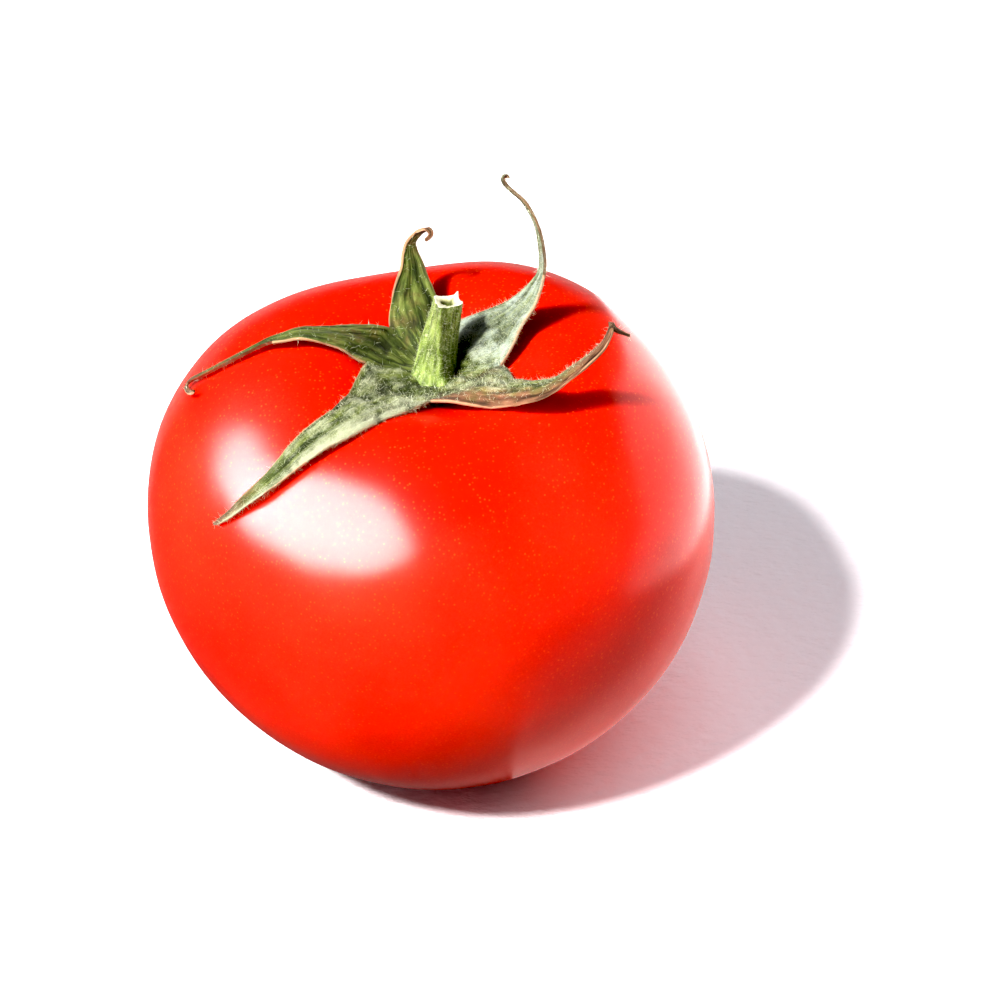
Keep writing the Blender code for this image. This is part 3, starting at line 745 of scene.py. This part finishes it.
def make_calyx(material, skin):
    """The calyx as one star-shaped sheet: a disc round the stalk that splits into five creased sepals."""
    axis = np.array(CALYX_AXIS)
    names = list(SEPALS)
    grids = [sepal_grid(i, name, skin) for i, name in enumerate(names)]
    points, marks, maps, faces = [], [], [], []
    shares = np.linspace(-1, 1, ACROSS + 1)
    rim = np.concatenate([grid[0, :-1] for grid, _, _ in grids])
    rim_look = [(names[k // ACROSS], shares[k % ACROSS]) for k in range(len(rim))]
    columns = len(rim)
    centre_height = skin_height(skin, *axis) + DISC_RISE
    points.append((axis[0], axis[1], centre_height))
    marks.append((0.2, 0.5, 0.0, 0.0))
    maps.append((0.0, 0.0))
    for ring in range(1, DISC_RINGS + 1):
        reach = INNER_RING + (1 - INNER_RING) * ring / DISC_RINGS
        fall = (1 - reach) ** 1.5
        for k, (name, share) in enumerate(rim_look):
            x, y = axis + (rim[k, :2] - axis) * reach
            rim_lift = rim[k, 2] - skin_height(skin, rim[k, 0], rim[k, 1])
            lift = DISC_RISE * fall + rim_lift * (1 - fall)
            place = np.array((x, y, skin_height(skin, x, y) + lift)) if ring < DISC_RINGS else rim[k]
            look = SEPAL_LOOKS[name]
            high = clump(place) * (1 + (look["clumps"] - 1) * reach * reach)
            dry = DISC_DRY + (look["dry"] - DISC_DRY) * reach
            wool = DISC_WOOL + (look["wool"] - DISC_WOOL) * reach
            across = share * 0.9 * reach ** 6 * abs(share) ** 8
            points.append((place[0], place[1], place[2] + WOOL_RELIEF * high))
            # The last mark is painted shade, strongest in the hollows between clumps of wool
            marks.append((dry, wool, across, PAINTED_SHADE_LEVEL - high))
            maps.append((DISC_REACH * reach, share + 2.0 * (k // ACROSS)))
    for k in range(columns):
        faces.append((0, 1 + k, 1 + (k + 1) % columns))
    for ring in range(DISC_RINGS - 1):
        for k in range(columns):
            a = 1 + ring * columns + k
            b = 1 + ring * columns + (k + 1) % columns
            faces.append((a, a + columns, b + columns, b))
    rim_start = 1 + (DISC_RINGS - 1) * columns
    for index, (grid, rows, places) in enumerate(grids):
        look = SEPAL_LOOKS[names[index]]
        last = [rim_start + (index * ACROSS + j) % columns for j in range(ACROSS + 1)]
        for i in range(1, ALONG):
            row = []
            share_along = places[i] / places[-1]
            for j, share in enumerate(shares):
                point = grid[i, j]
                before = grid[i - 1, j]
                beyond = grid[min(i + 1, ALONG - 1), j]
                beside = grid[i, min(j + 1, ACROSS)] - grid[i, max(j - 1, 0)]
                up = unit(np.cross(beyond - before, beside))
                half = rows[i, 3]
                deep = min(half / BROAD_SEPAL, 1.0)
                # Creases along the sepal with finer ones between them, and ripples along its margins
                crease = 0.34 * rough(share * 3.2 + index, places[i] * 0.10, 1 + index)
                crease += 0.20 * rough(share * 7.0, places[i] * 0.16, 11 + index)
                ripple = 0.35 * rough(places[i] * 0.35, share * 1.5, 21 + index) * abs(share) ** 3
                ripple += 0.5 * look["fold"] * rough(places[i] * 0.7, share * 4.0, 41) * max(-share, 0.0)
                high = clump(point) * look["clumps"]
                rise = deep * (crease + ripple) * min(places[i] / 2.0, 1.0)
                point = point + up * (rise + WOOL_RELIEF * high * deep * (1 - 0.8 * share_along))
                row.append(len(points))
                points.append(tuple(point))
                # The tip and a rolled margin are drier, the wool thins out towards the tip, and painted shade
                # darkens the hollows and creases
                tip_dry = look["dry"] + 1.8 * max(share_along - 0.5, 0.0) ** 1.2
                fold_dry = 0.7 * look["fold"] * max(-share, 0.0)
                shadowed = (PAINTED_SHADE_LEVEL - high - 1.5 * crease) * (1 - 0.7 * share_along)
                wool = look["wool"] * (1 - 0.6 * share_along) + look["pale"] * max(share - 0.2, 0.0)
                wool -= 0.8 * look["fold"] * max(-share, 0.0)
                marks.append((tip_dry + fold_dry, wool, share, shadowed))
                maps.append((DISC_REACH + places[i], share + 2.0 * index))
            for j in range(ACROSS):
                faces.append((last[j], row[j], row[j + 1], last[j + 1]))
            last = row
    points = [tuple(c * MM for c in point) for point in points]
    numbers = dict(zip(SEPAL_MARKS, zip(*marks)))
    mesh = marked_mesh("calyx sheet", points, faces, numbers, "along and across", maps)
    sheet = add_object("calyx sheet", mesh)
    solid = sheet.modifiers.new("leaf thickness", "SOLIDIFY")
    solid.thickness = SHEET_THICKNESS * MM
    solid.offset = 0.0
    solid.use_even_offset = False
    finished = plain_mesh(sheet)
    bpy.data.objects.remove(sheet)
    for vertex in finished.vertices:
        near, normal, _, _ = skin.find_nearest(vertex.co / MM)
        if (vertex.co / MM - near).dot(normal) < SKIN_GAP:
            vertex.co = (near + normal * SKIN_GAP) * MM
    finished.materials.append(material)
    finished.shade_smooth()
    calyx = add_object("dried_calyx", finished)
    place_piece(calyx, "calyx")
    return calyx


def make_stalk(material):
    """The stub of stalk: ribbed, flared at its root and torn across at its top, with a hollow of pith."""
    stations = [(*place, radius) for place, radius in zip(STALK_PATH, STALK_RADII)]
    rows, places = smooth_rows(stations, STALK_ROWS)
    rings = []
    for i, row in enumerate(rows):
        forward = unit(rows[min(i + 1, STALK_ROWS - 1), :3] - rows[max(i - 1, 0), :3])
        rings.append((row[:3], forward, row[3], places[i], 0.0, 0.0))
    top, forward, radius, length = rows[-1, :3], rings[-1][1], rows[-1, 3], places[-1]
    for share, depth, torn in TORN_RINGS:
        rings.append((top, forward, radius * share, length, depth, torn))
    points, torn_marks, maps, faces = [], [], [], []
    for centre, forward, radius, along, depth, torn in rings:
        right = unit(np.array([1.0, 0.0, 0.0]) - forward * forward[0])
        other = np.cross(forward, right)
        for side in range(STALK_SIDES):
            turn = math.tau * side / STALK_SIDES
            twist = STALK_TWIST * (1 - along / length)
            reach = sum(max(math.cos(turn - math.radians(facet + twist)), 0.0) ** 7
                        for facet in STALK_FACETS) ** (-1 / 7)
            # Soft unevenness and nine fine ribs
            uneven = 0.05 * rough(3 * math.cos(turn), 3 * math.sin(turn) + along * 0.25, 31)
            uneven += 0.02 * math.cos(9 * turn + 0.4 * along)
            wide = radius * ((STALK_WIDTH * reach + uneven) if torn < 0.5 else 1.0)
            ragged = 0.0
            # The torn rim has one splinter, a low lip and small splits
            if along > length - RAGGED_LENGTH:
                rim = (along - length + RAGGED_LENGTH) / RAGGED_LENGTH
                splinter = max(math.cos(turn - SPLINTER_AZIMUTH), 0.0) ** 24
                lip = max(math.cos(turn - LIP_AZIMUTH), 0.0) ** 6
                splits = rough(6 * math.cos(turn), 6 * math.sin(turn), 37)
                ragged = rim * (splinter + 0.25 * lip + 0.15 * splits)
                if torn > 0:
                    ragged *= max(1.0 - 1.6 * max(torn - 0.3, 0.0), 0.0)
            outward = right * math.cos(turn) + other * math.sin(turn)
            place = centre + outward * wide + forward * (ragged - depth)
            points.append(tuple(place * MM))
            torn_marks.append(torn)
            maps.append((along, 2 * math.tau * side / STALK_SIDES))
    for i in range(len(rings) - 1):
        for side in range(STALK_SIDES):
            after = (side + 1) % STALK_SIDES
            a, b = i * STALK_SIDES, (i + 1) * STALK_SIDES
            faces.append((a + side, a + after, b + after, b + side))
    for start, turned in ((0, True), ((len(rings) - 1) * STALK_SIDES, False)):
        middle = len(points)
        ring = np.array(points[start:start + STALK_SIDES])
        points.append(tuple(ring.mean(axis=0)))
        torn_marks.append(torn_marks[start])
        maps.append(maps[start])
        for side in range(STALK_SIDES):
            pair = (start + side, start + (side + 1) % STALK_SIDES)
            faces.append((middle, pair[1], pair[0]) if turned else (middle, *pair))
    marks = {"torn": torn_marks, "wool": [float(mark == 0) for mark in torn_marks]}
    mesh = marked_mesh("torn_stalk", points, faces, marks, "along and round", maps)
    mesh.materials.append(material)
    mesh.shade_smooth()
    stalk = add_object("torn_stalk", mesh)
    place_piece(stalk, "stem")
    return stalk


def make_hair_tree(material):
    """Short tapering hairs scattered over a surface, each bent a little and leaning at random."""
    tree, given, result = start_tree("leaf hairs", (
        "hairs per square metre", "shortest", "longest", "thickness", "lean", "bend"), ("seed",))
    # More hairs stand where the surface is woolly
    wool = add(tree, "GeometryNodeInputNamedAttribute", {"Name": "wool"})
    density = add(tree, "ShaderNodeMath", {0: wool.outputs[0], 1: given.outputs["hairs per square metre"]},
                  operation="MULTIPLY")
    scatter = add(tree, "GeometryNodeDistributePointsOnFaces", {
        "Mesh": given.outputs["Geometry"], "Density": density.outputs[0], "Seed": given.outputs["seed"],
    })
    least = add(tree, "ShaderNodeMath", {0: given.outputs["lean"], 1: -1.0}, operation="MULTIPLY")
    low = add(tree, "ShaderNodeCombineXYZ", {k: least.outputs[0] for k in ("X", "Y", "Z")})
    high = add(tree, "ShaderNodeCombineXYZ", {k: given.outputs["lean"] for k in ("X", "Y", "Z")})
    seeds = [add(tree, "ShaderNodeMath", {0: given.outputs["seed"], 1: step}, operation="ADD").outputs[0]
             for step in (7.0, 19.0, 31.0)]
    sway = add(tree, "FunctionNodeRandomValue", {0: low.outputs[0], 1: high.outputs[0], "Seed": seeds[0]},
               data_type="FLOAT_VECTOR")
    direction = add(tree, "ShaderNodeVectorMath", {0: scatter.outputs["Normal"], 1: sway.outputs[0]},
                    operation="ADD")
    aligned = add(tree, "FunctionNodeAlignRotationToVector", {"Vector": direction.outputs[0]}, axis="Z")
    spin = add(tree, "FunctionNodeRandomValue", {2: 0.0, 3: math.tau, "Seed": seeds[1]})
    twist = add(tree, "FunctionNodeAxisAngleToRotation", {"Axis": (0.0, 0.0, 1.0), "Angle": spin.outputs[1]})
    turned = add(tree, "FunctionNodeRotateRotation", {
        "Rotation": aligned.outputs[0], "Rotate By": twist.outputs[0],
    }, rotation_space="LOCAL")
    cone = add(tree, "GeometryNodeMeshCone", {
        "Vertices": 3, "Side Segments": 2, "Radius Bottom": given.outputs["thickness"], "Depth": 1.0,
    })
    # The cone is 1 high, so its height squared bends the tip by the whole bend and the middle by a quarter
    along = add(tree, "ShaderNodeSeparateXYZ", {"Vector": add(tree, "GeometryNodeInputPosition").outputs[0]})
    push = given.outputs["bend"]
    for _ in range(2):
        push = add(tree, "ShaderNodeMath", {0: push, 1: along.outputs["Z"]}, operation="MULTIPLY").outputs[0]
    offset = add(tree, "ShaderNodeCombineXYZ", {"X": push})
    bent = add(tree, "GeometryNodeSetPosition", {
        "Geometry": cone.outputs["Mesh"], "Offset": offset.outputs[0],
    })
    length = add(tree, "FunctionNodeRandomValue", {
        2: given.outputs["shortest"], 3: given.outputs["longest"], "Seed": seeds[2],
    })
    size = add(tree, "ShaderNodeCombineXYZ", {"X": 1.0, "Y": 1.0, "Z": length.outputs[1]})
    hairs = add(tree, "GeometryNodeInstanceOnPoints", {
        "Points": scatter.outputs["Points"], "Instance": bent.outputs[0],
        "Rotation": turned.outputs[0], "Scale": size.outputs[0],
    })
    plain = add(tree, "GeometryNodeRealizeInstances", {"Geometry": hairs.outputs[0]})
    dressed = add(tree, "GeometryNodeSetMaterial", {"Geometry": plain.outputs[0], "Material": material})
    fill(tree, result, {"Geometry": dressed.outputs[0]})
    return tree


def make_hairs(tree, base, name, values):
    hairs = run_tree(base, tree, name, values)
    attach(hairs, "root")
    return hairs


def make_studio(paper):
    """White paper, a key light and a soft box at the front left, and white cards and fills round the fruit.

    The soft box and the cards show only as reflections, the fills only light matte surfaces, and the table
    light only reaches the paper.
    """
    corners = [(x * PAPER_HALF, y * PAPER_HALF, 0) for x, y in ((-1, -1), (1, -1), (1, 1), (-1, 1))]
    mesh = bpy.data.meshes.new("paper")
    mesh.from_pydata(corners, [], [(0, 1, 2, 3)])
    mesh.materials.append(paper)
    table = add_object("paper", mesh)
    only_table = bpy.data.collections.new("lit by the table lights")
    only_table.objects.link(table)
    not_table = bpy.data.collections.new("not lit by the fills")
    not_table.objects.link(table)
    not_table.collection_objects[0].light_linking.link_state = "EXCLUDE"
    sun = bpy.data.lights.new("key light", "SUN")
    sun.energy = KEY_STRENGTH
    sun.angle = KEY_WIDTH
    sun.color = (1.0, 0.97, 0.94)
    key = add_object("key light", sun)
    travel = Vector((math.cos(KEY_FALL) * math.cos(KEY_AZIMUTH), math.cos(KEY_FALL) * math.sin(KEY_AZIMUTH),
                     -math.sin(KEY_FALL)))
    key.rotation_euler = travel.to_track_quat("-Z", "Y").to_euler()
    key.visible_glossy = False
    for name, reaches, colour, place, facing, width, height, roll, brightness in STUDIO_LIGHTS:
        light = bpy.data.lights.new(name, "AREA")
        light.shape = "ELLIPSE" if name in ROUND_LIGHTS else "RECTANGLE"
        light.size = width
        light.size_y = height
        light.color = colour
        filled = math.pi / 4 if light.shape == "ELLIPSE" else 1
        light.energy = brightness * width * height * math.pi * filled
        made = add_object(name, light)
        made.location = place
        turn = (Vector(facing) - Vector(place)).to_track_quat("-Z", "Y").to_matrix()
        made.rotation_euler = (turn @ Matrix.Rotation(math.radians(roll), 3, "Z")).to_euler()
        made.visible_camera = False
        if reaches == "gloss":
            made.visible_diffuse = False
        elif reaches == "matte":
            made.visible_glossy = False
            made.light_linking.receiver_collection = not_table
        else:
            made.light_linking.receiver_collection = only_table
    # Red light comes through the fruit and tints its shadow on the paper, most where they touch
    for number, (place, energy) in enumerate(FLESH_GLOWS, 1):
        glow = bpy.data.lights.new(f"glow through the flesh {number}", "POINT")
        glow.color = (1.0, 0.05, 0.07)
        glow.energy = energy
        glow.shadow_soft_size = 0.005
        shine = add_object(glow.name, glow)
        shine.location = place
        shine.visible_glossy = False
        shine.light_linking.receiver_collection = only_table
        shine.light_linking.blocker_collection = only_table
    world = bpy.data.worlds.new("studio")
    bpy.context.scene.world = world
    world.use_nodes = True
    tree = world.node_tree
    background = tree.nodes["Background"]
    fill(tree, background, {"Color": (0.05, 0.05, 0.052, 1.0), "Strength": 1.0})
    seen = add(tree, "ShaderNodeBackground", {"Color": (1.0, 1.0, 1.0, 1.0)})
    path = add(tree, "ShaderNodeLightPath")
    mixed = add(tree, "ShaderNodeMixShader", {
        0: path.outputs["Is Camera Ray"], 1: background.outputs[0], 2: seen.outputs[0],
    })
    fill(tree, tree.nodes["World Output"], {"Surface": mixed.outputs[0]})


def make_camera():
    lens = bpy.data.cameras.new("camera")
    lens.lens = CAMERA_LENS
    lens.sensor_width = CAMERA_FILM
    lens.clip_start = 0.01
    camera = add_object("camera", lens)
    camera.location = CAMERA_PLACE
    camera.rotation_euler = (CAMERA_TILT, 0.0, 0.0)
    bpy.context.scene.camera = camera
    view = bpy.context.scene.view_settings
    view.view_transform = "Standard"
    view.gamma = CAMERA_GAMMA
    view.use_curve_mapping = True
    view.curve_mapping.black_level = (CAMERA_BLACK, CAMERA_BLACK, CAMERA_BLACK)
    view.curve_mapping.update()


def main():
    make_camera()
    make_studio(make_paper_material())
    fruit = make_fruit(make_skin_material())
    skin = skin_tree(fruit)
    calyx = make_calyx(make_sepal_material(), skin)
    stalk = make_stalk(make_stalk_material())
    hair_tree = make_hair_tree(make_hair_material())
    make_hairs(hair_tree, calyx, "calyx_hairs", CALYX_HAIRS)
    make_hairs(hair_tree, stalk, "stalk_hairs", STALK_HAIRS)


main()
